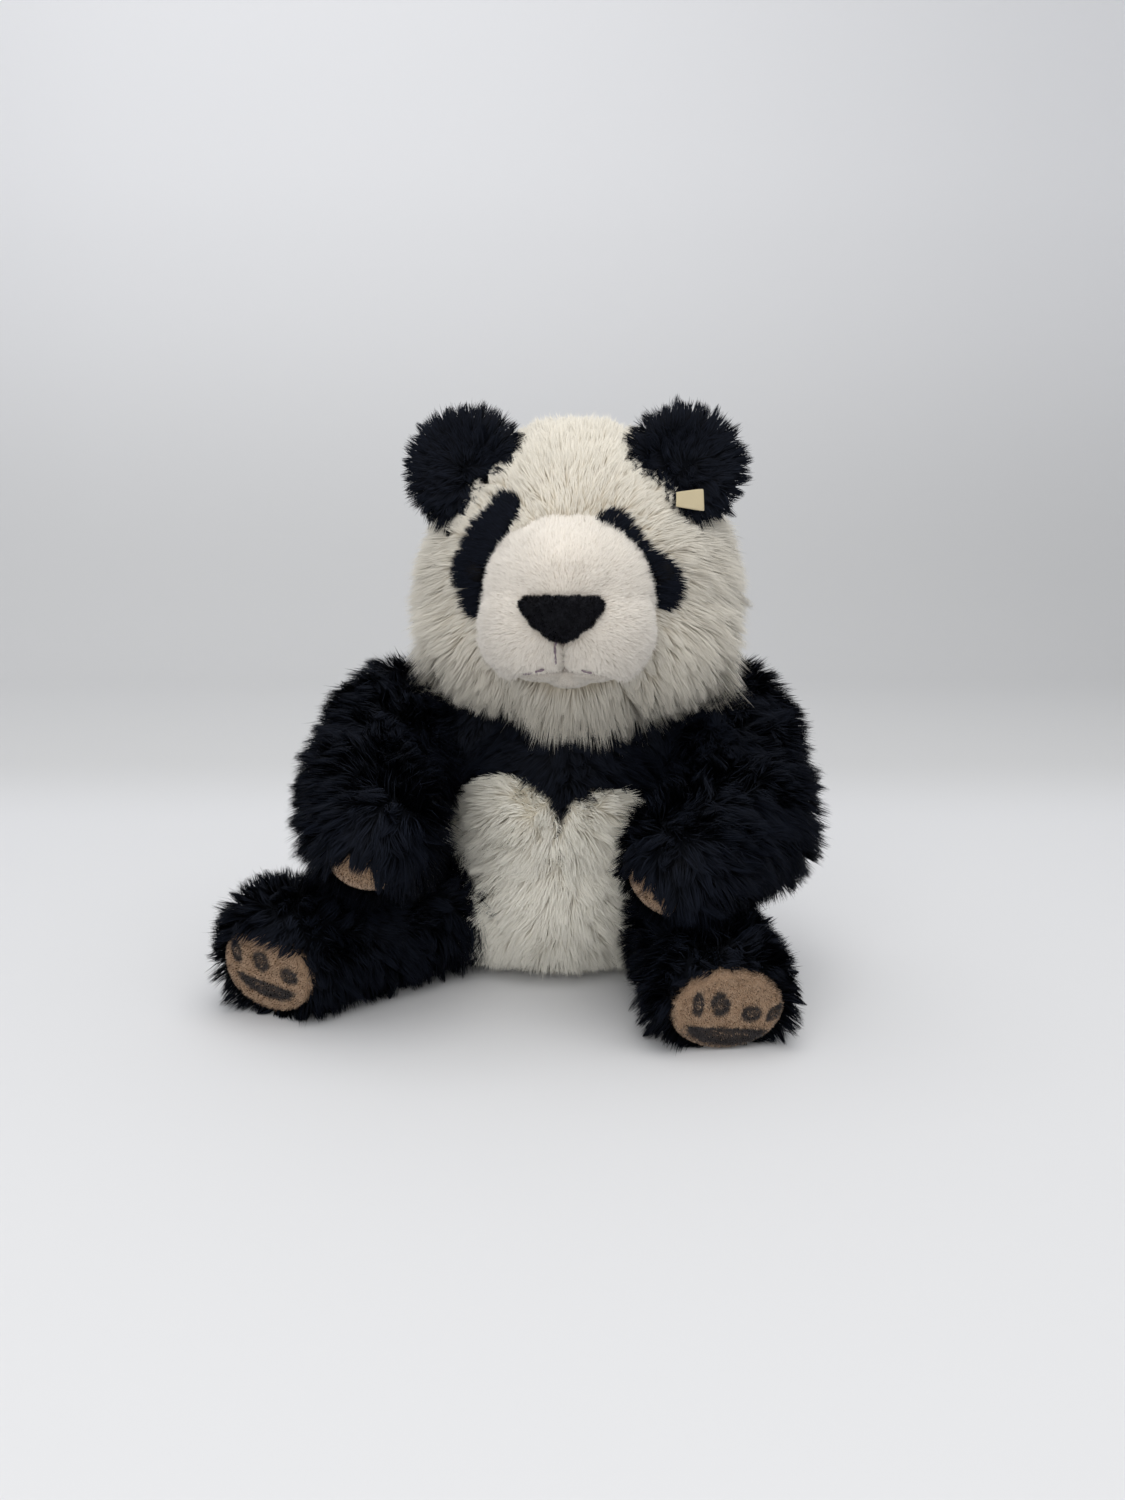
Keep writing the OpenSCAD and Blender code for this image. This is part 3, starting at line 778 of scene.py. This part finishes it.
def makeMuzzle():
    # the whole muzzle, its two cheeks, the bridge of the nose and the chin, from the muzzle's middle
    lumps = [((0, 2, 2), head["muzzleRadius"]), ((-13, -10, -11), 27), ((13, -10, -11), 27),
             ((0, -9, 8), 30), ((0, 2, -22), 20)]
    balls = [(headPoint(*(muzzleAt + np.array(offset))), r * mm) for offset, r in lumps]
    form = softForm("muzzleSkin", balls, voxel=1.6, smooth=10)
    points = vertsOf(form)
    p = inHead(points) - muzzleAt
    x, y, z = p.T
    # the fold from the nose down to the mouth
    fold = 2.6 * bell(x, 2.2) * smoothstep(-10, -16, z) * smoothstep(-36, -31, z)
    # a shallow fold between the cheeks of the muzzle and the lip
    overMouth = z - smileHeight(p)
    mouth = 3.4 * bell(overMouth, 1.7) * smoothstep(27, 18, np.abs(x))
    below = 1.6 * smoothstep(0, -3, overMouth) * smoothstep(29, 18, np.abs(x))
    shift = (fold + mouth + below) * smoothstep(-5, -20, y)
    setVerts(form, points - (unit(p) * shift[:, None]) @ turnArray.T * mm)

    def tint(points):
        q = inHead(points) - muzzleAt
        # painted shade: the backing darkens along the seam under the nose and the line of the mouth
        return mixed(muzzleWhites["root"], paintedMouthShade, mouthLines(q, 1.3) * (q[:, 1] < -5))

    tintPiece(form, tint)
    finishForm(form, "head", backing, ["muzzle_cover", "chin_panel"])
    return form


def muzzleGroom(points, slopes):
    # combed away from the tip of the nose, longer towards the seam and short in the folds
    p = inHead(points) - muzzleAt
    x, _, z = p.T
    away = unit(p - np.array([0, -48.0, -5.0])) @ turnArray.T
    away = away - slopes * (away * slopes).sum(axis=1, keepdims=True)
    lay = unit(slopes * 0.55 + unit(away) * 0.8 + 0.25 * drift(points, 22, 9))
    length = muzzlePile["length"] + muzzlePile["bySeam"] * smoothstep(25, 44, np.hypot(x, z))
    overMouth = z - smileHeight(p)
    lip = smoothstep(1.0, -1.5, overMouth) * smoothstep(30, 24, np.abs(x))
    fold = bell(overMouth, 2.4) * smoothstep(26, 20, np.abs(x))
    seam = bell(x, 2.0) * smoothstep(-13, -16, z)
    return lay, length * (1 - np.clip(0.72 * lip + 0.6 * fold + 0.5 * seam, 0, 0.8))


def muzzleKeep(points):
    # none inside the head or under the nose, and little on the mouth's lines
    q = inHead(points) - muzzleAt
    outside = aboveHead(points) > -4
    return outside * (1 - smoothstep(0.3, 0.7, noseMask(q))) * (1 - 0.75 * mouthLines(q, 1.2))


def noseMask(q):
    # 1 inside the nose: wide and flat on top, round below
    x, z = np.abs(q[:, 0]), q[:, 2]
    halfWide = 19.5 * np.sqrt(np.clip((z + 17.0) / 21.5, 0, 1)) ** 0.9
    inside = smoothstep(1.0, -1.0, x - halfWide) * smoothstep(6.5, 5.0, z + 0.004 * x ** 2)
    return inside * (q[:, 1] < -10)


def makeNose():
    # balls laid over the muzzle's front: across, up, and radius
    balls = []
    for x, z, r in [(-16, 1.2, 3.6), (-13, -0.3, 5.0), (-7, -0.8, 5.8), (0, -1.2, 6.2), (7, -0.8, 5.8),
                    (13, -0.3, 5.0), (16, 1.2, 3.6), (-9.5, -4.5, 5.4), (-3.5, -6.5, 6.2), (3.5, -6.5, 6.2),
                    (9.5, -4.5, 5.4), (-3.5, -9.5, 5.2), (3.5, -9.5, 5.2), (0, -10.5, 5.2)]:
        y = -math.sqrt(44.0 ** 2 - x * x - z * z) + 3.2
        balls.append((headPoint(*(muzzleAt + np.array([x, y, z]))), r * mm, (1, 0.75, 1)))
    form = softForm("noseSkin", balls, voxel=0.9, smooth=8)
    tintPiece(form, noseBlacks["cloth"])
    finishForm(form, "head", backing, ["nose"])
    return form


def noseGroom(points, slopes):
    lay = unit(slopes + 0.3 * drift(points, 12, 5) + np.array([0, 0, -0.25]))
    return lay, np.full(len(points), nosePile)


def makeStitches():
    # thread seen between the pile: one upright line and the short dashes of the mouth
    def onMuzzle(x, z, proud):
        y = -math.sqrt(46 ** 2 - x * x - z * z)
        away = headPoint(*(muzzleAt + np.array([x, y, z])))
        _, place, slope, _ = muzzleSkin.closest_point_on_mesh(Vector(away))
        return np.array(place) + np.array(slope) * proud * mm

    # each run: its thread's half thickness, how far it stands out, and its points
    runs = [(0.7, 1.2, [(-0.4, -15.0), (-0.8, -20.0), (-0.3, -24.5), (-0.6, -29.8)]),
            (0.65, 2.2, [(-8.5, -30.6), (-12.0, -31.0), (-13.0, -31.3)]),
            (0.65, 2.2, [(-14.5, -31.4), (-17.0, -31.8), (-19.5, -32.3)]),
            (0.6, 2.2, [(8.5, -30.7), (11.0, -31.0), (13.8, -31.3)])]
    deselectAll()
    parts = []
    for half, proud, run in runs:
        for (x0, z0), (x1, z1) in zip(run, run[1:]):
            a, b = onMuzzle(x0, z0, proud), onMuzzle(x1, z1, proud)
            middle, reach = (a + b) / 2, np.linalg.norm(b - a) / 2
            turn = Vector(b - a).to_track_quat("Z", "Y").to_euler()
            parts.append(addBall(middle, 1.0, (half * mm, half * mm, reach * 1.1), turn, 12, 8))
    piece = joinParts(parts, "mouthStitches")
    piece.data.materials.append(greyThread)
    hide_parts("mouth_stitching")
    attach(piece, "head")


def makeEar(side, name, nodes):
    x, y, z = head["earAt"]
    r = head["earRadius"]
    tilt = (math.radians(-12), 0, headTurn + side * math.radians(14))
    centre = headPoint(side * x, y, z)
    form = softForm(name, [(centre, r * mm, (1.04, 0.34, 1.0), tilt)], voxel=1.5, smooth=4)

    def fromMiddle(points):
        return np.linalg.norm((points - centre)[:, [0, 2]], axis=1) / mm

    # the middle is pushed back and the rim drawn forward, which cups the ear
    points = vertsOf(form)
    radial = fromMiddle(points)
    points[:, 1] += 4.5 * smoothstep(20, 4, radial) * mm
    points[:, 1] -= 3.5 * smoothstep(12, 26, radial) * mm
    setVerts(form, points)
    tintPiece(form, blacks["root"])
    finishForm(form, "head", backing, nodes)

    def groom(points, slopes):
        away = unit((points - centre) * np.array([1, 0.3, 1]))
        lay = unit(slopes * 0.55 + away * 0.65 + 0.3 * drift(points, 18, 21 + side))
        return lay, earPile["length"] + earPile["byRim"] * smoothstep(10, 26, fromMiddle(points))

    def keep(points):
        return (aboveHead(points) > -1) * 1.0

    growFur(name.replace("Skin", "Fur"), form, "head", blackFur, earCoat, groom, keep)


def headKeep(points):
    p = inHead(points)
    outside = smoothstep(-1.0, 1.0, muzzleEdge(p)) * smoothstep(-0.8, 0.8, patchEdge(p))
    neck = smoothstep(-74, -62, p[:, 2])
    return outside * np.maximum(neck, 0.35)


def patchKeep(points):
    p = inHead(points)
    return smoothstep(0.5, -0.5, patchEdge(p)) * (muzzleEdge(p) > -1) * (p[:, 1] < 0)


headSkin = makeHead()
growFur("headFur", headSkin, "head", whiteFur, headCoat, headGroom, headKeep)
growFur("eyePatchFur", headSkin, "head", blackFur, patchCoat, patchGroom, patchKeep)
muzzleSkin = makeMuzzle()
growFur("muzzleFur", muzzleSkin, "head", muzzleFur, muzzleCoat, muzzleGroom,
        muzzleKeep)
growFur("noseFur", makeNose(), "head", noseFur, noseCoat, noseGroom)
makeStitches()
makeEar(1, "earLeftSkin", ["ear_left_front", "ear_left_back"])
makeEar(-1, "earRightSkin", ["ear_right_front", "ear_right_back"])
print("head ready")


# torso

belly = {"leftLobe": (20.0, 84.5), "leftRadius": 20.5, "rightLobe": (-27.5, 86.0), "rightRadius": 25.5,
         "lobeUp": 83.0, "halfWidth": 52.0, "backEdge": 92.0}
torsoPile = {"length": 14.0, "lessBelow": 6.0, "lessOnLobes": 3.0, "parted": 0.6, "underHead": 0.65}


def makeTorso():
    # seat, belly, chest and neck, then both shoulders and hips
    shoulder = joints["arm_left_lift"] / mm
    lumps = [((0, 2, 50), 56), ((0, 2, 80), 56), ((0, 2, 110), 54), ((0, 3, 128), 46)]
    for side in (-1, 1):
        lumps.append(((side * 44, shoulder[1], shoulder[2]), 31))
        lumps.append(((side * 30, -10, 34), 31))
    form = softForm("torsoSkin", [(np.array(place) * mm, r * mm) for place, r in lumps], voxel=3.2, smooth=14)
    # flat on the floor
    points = vertsOf(form)
    points[:, 2] = np.where(points[:, 2] < 3 * mm, 1.2 * mm, points[:, 2])
    setVerts(form, points)
    tintPiece(form, lambda points: mixed(blacks["root"], bellyWhitesLit["root"], bellyMask(points)))
    finishForm(form, "torso", backing,
               ["belly_panel", "lower_back_left", "lower_back_right", "yoke_front", "yoke_back",
                "seat_panel", "torso_stuffing"])
    return form


def bellyEdge(points):
    # below 0 on the white cloth: a heart-topped belly in front, straight-topped behind
    x, y, z = (points / mm).T
    (leftX, leftZ), (rightX, rightZ) = belly["leftLobe"], belly["rightLobe"]
    lobes = np.minimum(np.hypot(x - leftX, z - leftZ) - belly["leftRadius"],
                       np.hypot(x - rightX, z - rightZ) - belly["rightRadius"])
    under = np.maximum(z - belly["lobeUp"], np.abs(x) - belly["halfWidth"])
    return np.where(y < 0, np.minimum(lobes, under), z - belly["backEdge"])


def bellyMask(points):
    return smoothstep(0.8, -0.8, bellyEdge(points))


def torsoGroom(points, slopes):
    x, y, z = (points / mm).T
    level = np.zeros(len(points))
    spread = np.stack([np.sign(x) * smoothstep(0, 12, np.abs(x)) * 0.35, level, level], axis=1)
    lay = unit(slopes * 0.85 + np.array([0, 0, -1.0]) * 0.35 + spread + 0.35 * drift(points, 38, 14))
    low = smoothstep(22, 6, z)
    lay = unit(lay + slopes * low[:, None] * 0.4)
    # over the heart's two tops the white pile puffs up and out
    lobeX = np.where(x > 0, belly["leftLobe"][0], belly["rightLobe"][0])
    lobe = np.stack([x - lobeX, level, z - belly["lobeUp"]], axis=1)
    puff = smoothstep(3, 14, np.abs(x)) * smoothstep(8, 20, np.linalg.norm(lobe, axis=1))
    puff = puff * (lobe[:, 2] > 0) * (y < 0) * bellyMask(points)
    lay = unit(lay + unit(lobe) * puff[:, None] * 0.9)
    # the black pile stands back from the heart's edge
    edge = bellyEdge(points)
    parted = smoothstep(9, 1, edge) * (edge > 0) * (y < 0)
    lay = unit(lay + (slopes * 0.5 + np.array([0, 0, 0.5])) * parted[:, None])
    # the head's own fringe lies over the collar, so the pile there is short and points down
    collar = smoothstep(30, 4, aboveHead(points))
    lay = unit(lay + np.array([0, 0, -0.8]) * collar[:, None])
    length = torsoPile["length"] - torsoPile["lessBelow"] * low - torsoPile["lessOnLobes"] * puff
    return lay, length * (1 - torsoPile["parted"] * parted) * (1 - torsoPile["underHead"] * collar)


def bellyKeep(points):
    # little pile under the seat, where the cloth lies on the floor
    return bellyMask(points) * (smoothstep(1.6, 4.0, points[:, 2] / mm) * 0.85 + 0.15)


def yokeKeep(points):
    # the neck is covered by the head: only a little pile is needed there
    return (1 - bellyMask(points)) * np.clip(smoothstep(-4, 3, aboveHead(points)), 0.05, 1)


tail = {"forward": 3.0, "radius": 12.0, "pile": 11.0}


def makeTail():
    form = softForm("tailSkin", [(boxMiddle("tail") + np.array([0, -tail["forward"] * mm, 0]),
                                  tail["radius"] * mm)], voxel=1.8, smooth=4)
    tintPiece(form, whites["root"])
    finishForm(form, "torso", backing, ["tail"])
    growFur("tailFur", form, "torso", whiteFur, tailCoat,
            lambda p, n: (unit(n + np.array([0, 0.2, -0.5])), np.full(len(p), tail["pile"])))


torsoSkin = makeTorso()
growFur("bellyFur", torsoSkin, "torso", bellyFur, bellyCoat, torsoGroom, bellyKeep)
growFur("yokeFur", torsoSkin, "torso", blackFur, yokeCoat, torsoGroom, yokeKeep)
makeTail()
print("torso ready")


# arms

arms = {"left": {"elbow": (94, -44, 96), "paw": (56, -100, 80), "padWay": (-24, -14, -20)},
        "right": {"elbow": (-98, -42, 107), "paw": (-90, -102, 94), "padWay": (-6, -16, -17)}}
armSizes = {"shoulder": 33.0, "elbow": 30.0, "paw": 24.5, "pad": 14.0, "sag": 26.0, "sagAt": (4, 1, -12)}
armPile = {"length": 16.0, "lessByPad": 6.5, "byHead": 0.6, "pad": 1.8}


def makeArm(side):
    arm = arms[side]
    label = side.capitalize()
    shoulder = joints["arm_" + side + "_lift"]
    elbow, paw = np.array(arm["elbow"]) * mm, np.array(arm["paw"]) * mm
    balls = chain([(shoulder, armSizes["shoulder"] * mm), (elbow, armSizes["elbow"] * mm),
                   (paw, armSizes["paw"] * mm)])
    if side == "left":
        # this elbow sags a little
        balls.append((elbow + np.array(armSizes["sagAt"]) * mm, armSizes["sag"] * mm))
    form = softForm("arm" + label + "Skin", balls, voxel=2.6, smooth=8)
    padWay = unit(np.array(arm["padWay"], float))

    def padAxes(points):
        # how far ahead of the paw's middle, and how far off the pad's own line
        q = (points - paw) / mm
        ahead = q @ padWay
        return ahead, np.linalg.norm(q - ahead[:, None] * padWay, axis=1)

    def padMask(points):
        ahead, off = padAxes(points)
        return smoothstep(0.8, -0.8, off - armSizes["pad"]) * (ahead > 5)

    tintPiece(form, lambda points: mixed(blacks["root"], tans["root"], padMask(points)))
    body = "arm_" + side
    finishForm(form, body, backing,
               [body + part for part in ("_top_panel", "_under_panel", "_paw_pad", "_stuffing")])
    reach = unit(paw - shoulder)

    def groom(points, slopes):
        outward = np.array([math.copysign(0.25, paw[0]), -0.05, -0.35])
        lay = unit(slopes * 0.95 + outward + reach * 0.2 + 0.45 * drift(points, 34, 31))
        ahead, off = padAxes(points)
        near = smoothstep(26, 15, off) * (ahead > 0)
        towards = unit(paw + padWay * 30 * mm - points)
        lay = unit(lay + towards * near[:, None] * 0.5)
        byHead = smoothstep(24, 6, aboveHead(points))
        return lay, (armPile["length"] - armPile["lessByPad"] * near) * (1 - armPile["byHead"] * byHead)

    growFur("arm" + label + "Fur", form, body, blackFur, longCoat, groom,
            lambda q: 1 - padMask(q))
    growFur("pawPad" + label + "Pile", form, body, padFur, padCoat,
            lambda p, n: (unit(n + 0.2 * drift(p, 10, 8)), np.full(len(p), armPile["pad"])), padMask,
            printed=lambda q: np.zeros(len(q)))


for side in ("left", "right"):
    makeArm(side)
print("arms ready")


# legs

legs = {"left": {"splay": 7.0, "turn": 0.0, "roll": -6.0, "flat": 0.9, "raise": -3.0, "reach": 21.5,
                 "soleUp": -3.5},
        "right": {"splay": 53.0, "turn": 28.0, "roll": -12.0, "flat": 1.06, "raise": 3.0, "reach": 18.5,
                  "soleUp": 0.5}}
legSizes = {"hip": 25.0, "foot": 28.0, "length": 95.0, "lean": 12.0, "soleWide": 26.0, "soleTall": 21.5,
            "soleDeep": 13.0}
legPile = {"length": 14.0, "lessByRim": 1.5, "byFloor": 0.4, "sole": 1.7}


def legFrame(side):
    # middle of the foot, and the sole's own axes: across, up, and straight out of the sole
    sign = 1 if side == "left" else -1
    hip = joints["leg_" + side + "_splay"]
    drop = hip[2] / mm - legSizes["foot"]
    reach = math.sqrt(legSizes["length"] ** 2 - drop ** 2)
    angle = sign * math.radians(legs[side]["splay"])
    foot = hip + np.array([math.sin(angle) * reach, -math.cos(angle) * reach, -drop]) * mm
    facing = sign * math.radians(legs[side]["splay"] - legs[side]["turn"])
    lean = math.radians(legSizes["lean"])
    out = np.array([math.sin(facing) * math.cos(lean), -math.cos(facing) * math.cos(lean),
                    -math.sin(lean)])
    across = np.array([math.cos(facing), math.sin(facing), 0])
    return hip, foot, out, across, np.cross(out, across)


# each toe print: across, up, half its width and height, and its lean
toePrints = {"left": [(-15.0, 3.5, 2.8, 6.8, 6), (-4.6, 4.2, 4.4, 6.8, 16), (11.0, 0.0, 4.9, 4.5, 0),
                      (21.5, 1.0, 2.8, 5.2, -28)],
             "right": [(-17.5, 5.5, 3.2, 6.6, 8), (-3.0, 5.0, 5.0, 5.8, 8), (13.5, 2.5, 5.4, 4.6, -12)]}
heelPrint = {"left": {"wide": 19.5, "tall": 9.5, "at": (0.5, -8.6)},
             "right": {"wide": 17.0, "tall": 8.5, "at": (0.0, -6.5)}}


def shadedPrint(r):
    # airbrushed: dark at the rim and a little lighter inside
    return smoothstep(1.12, 0.9, r) * (0.74 + 0.26 * smoothstep(0.15, 0.8, r))


def printMask(side, a, b):
    dark = np.zeros(len(a))
    for x, z, wide, tall, lean in toePrints[side]:
        c, s = math.cos(math.radians(lean)), math.sin(math.radians(lean))
        p, q = (a - x) * c + (b - z) * s, -(a - x) * s + (b - z) * c
        dark = np.maximum(dark, shadedPrint(np.hypot(p / wide, q / tall)))
    x, z = heelPrint[side]["at"]
    below = np.hypot((a - x) / heelPrint[side]["wide"], np.minimum(b - z, 0) / heelPrint[side]["tall"])
    r = np.maximum(below, 0.9 + (b - z) / 5)
    return np.maximum(dark, shadedPrint(r))


def makeLeg(side):
    hip, foot, out, across, up = legFrame(side)
    label = side.capitalize()
    body = "leg_" + side
    leg = legs[side]
    footRadius = legSizes["foot"] * mm
    balls = chain([(hip, legSizes["hip"] * mm),
                   (between(hip, foot, 0.8), legSizes["foot"] * 0.95 * mm)])
    turned = (0, 0, math.atan2(across[1], across[0]))
    balls.append((foot + np.array([0, 0, leg["raise"]]) * mm, footRadius, (1.1, 1.0, leg["flat"]), turned))
    soleMiddle = foot + (out * (leg["reach"] - legSizes["soleDeep"]) + up * leg["soleUp"]) * mm
    balls.append((soleMiddle, footRadius, (1.05, 0.85, 0.9 * leg["flat"]), turned))
    form = softForm("leg" + label + "Skin", balls, voxel=2.6, smooth=8)
    # flat at the sole and on the floor
    points = vertsOf(form)
    over = np.maximum((points - foot) / mm @ out - leg["reach"], 0)
    points = points - (over * 0.97)[:, None] * out * mm
    points[:, 2] = np.maximum(points[:, 2], 1.5 * mm)
    setVerts(form, points)
    roll = math.radians(leg["roll"])

    def soleAxes(points):
        q = (points - foot) / mm
        return q @ across, q @ up - leg["soleUp"], q @ out

    def soleMask(points):
        a, b, along = soleAxes(points)
        r = np.hypot(a / legSizes["soleWide"], b / legSizes["soleTall"])
        return smoothstep(1.04, 0.96, r) * (along > leg["reach"] - 4.0)

    def inked(points):
        a, b, _ = soleAxes(points)
        return printMask(side, a * math.cos(roll) + b * math.sin(roll),
                         b * math.cos(roll) - a * math.sin(roll))

    tintPiece(form, lambda points: mixed(blacks["root"], mixed(tans["root"], prints["root"], inked(points)),
                                         soleMask(points)))
    finishForm(form, body, backing,
               [body + part for part in ("_top_panel", "_under_panel", "_sole_pad", "_stuffing")])

    def groom(points, slopes):
        a, b, along = soleAxes(points)
        rim = smoothstep(0, 14, along)
        over = smoothstep(5, 20, b) * rim
        lay = unit(slopes * (0.95 - 0.2 * over)[:, None] + out * (0.2 + 0.55 * rim)[:, None]
                   + np.array([0, 0, -0.15]) + 0.4 * drift(points, 32, 55))
        low = smoothstep(12, 3, points[:, 2] / mm)
        lay = unit(lay + slopes * np.array([1, 1, 0]) * low[:, None] * 0.8)
        return lay, (legPile["length"] - legPile["lessByRim"] * rim) * (1 - legPile["byFloor"] * low)

    growFur("leg" + label + "Fur", form, body, blackFur, longCoat, groom,
            lambda q: 1 - soleMask(q))
    growFur("sole" + label + "Pile", form, body, padFur, soleCoat,
            lambda p, n: (unit(n + 0.25 * drift(p, 12, 77)), np.full(len(p), legPile["sole"])), soleMask,
            printed=inked)


for side in ("left", "right"):
    makeLeg(side)
print("legs ready")


# label, eyes and inner pieces

def dress(node, material):
    piece = frame["nodes"][node]
    for slot in piece.material_slots:
        slot.material = material
    if not piece.material_slots:
        piece.data.materials.append(material)


tape = {"long": 18.0, "wide": 11.0, "apart": 1.5, "thick": 0.35, "taper": 0.62, "turn": 36.0, "steps": 28}


def makeLabel():
    # a blank cotton tape folded over once and caught in the ear's seam
    deselectAll()
    bpy.ops.mesh.primitive_grid_add(x_subdivisions=tape["steps"], y_subdivisions=6, size=1.0)
    piece = bpy.context.object
    piece.name = "earLabel"
    points = vertsOf(piece)
    along, across = points[:, 0] + 0.5, points[:, 1]
    run = along * 2 * tape["long"]
    out = np.where(run < tape["long"], tape["long"] - run, run - tape["long"])
    share = out / tape["long"]
    leaf = np.where(run < tape["long"], 1.0, -1.0) * smoothstep(0, 3, out) * tape["apart"] / 2
    curl = 0.9 * np.sin(share * 2.2) * (across * 1.4 + 0.5)
    local = np.stack([out - tape["long"] / 2, leaf + 0.45 * leaf * share + curl,
                      across * tape["wide"] * (tape["taper"] + (1 - tape["taper"]) * share)], axis=1)
    rotate = np.array(Matrix.Rotation(math.radians(tape["turn"]), 3, "Z"))
    setVerts(piece, local @ rotate.T * mm + boxMiddle("ear_label"))
    thick = piece.modifiers.new("thick", "SOLIDIFY")
    thick.thickness = tape["thick"] * mm
    smooth = piece.modifiers.new("smooth", "SUBSURF")
    smooth.levels = 1
    smooth.render_levels = 1
    applyModifiers(piece)
    piece.data.shade_smooth()
    finishForm(piece, "head", cotton, ["ear_label"])


makeLabel()
for side in ("left", "right"):
    dress("eye_" + side, eyePlastic)
    dress("eye_washer_" + side, washerPlastic)
    dress("shoulder_thread_" + side, blackThread)
    dress("hip_thread_" + side, blackThread)
dress("neck_thread", blackThread)
dress("pellet_bag", bagCloth)
dress("pellets", pelletPlastic)
dress("care_label", cotton)
print("label, eyes and inner pieces ready")
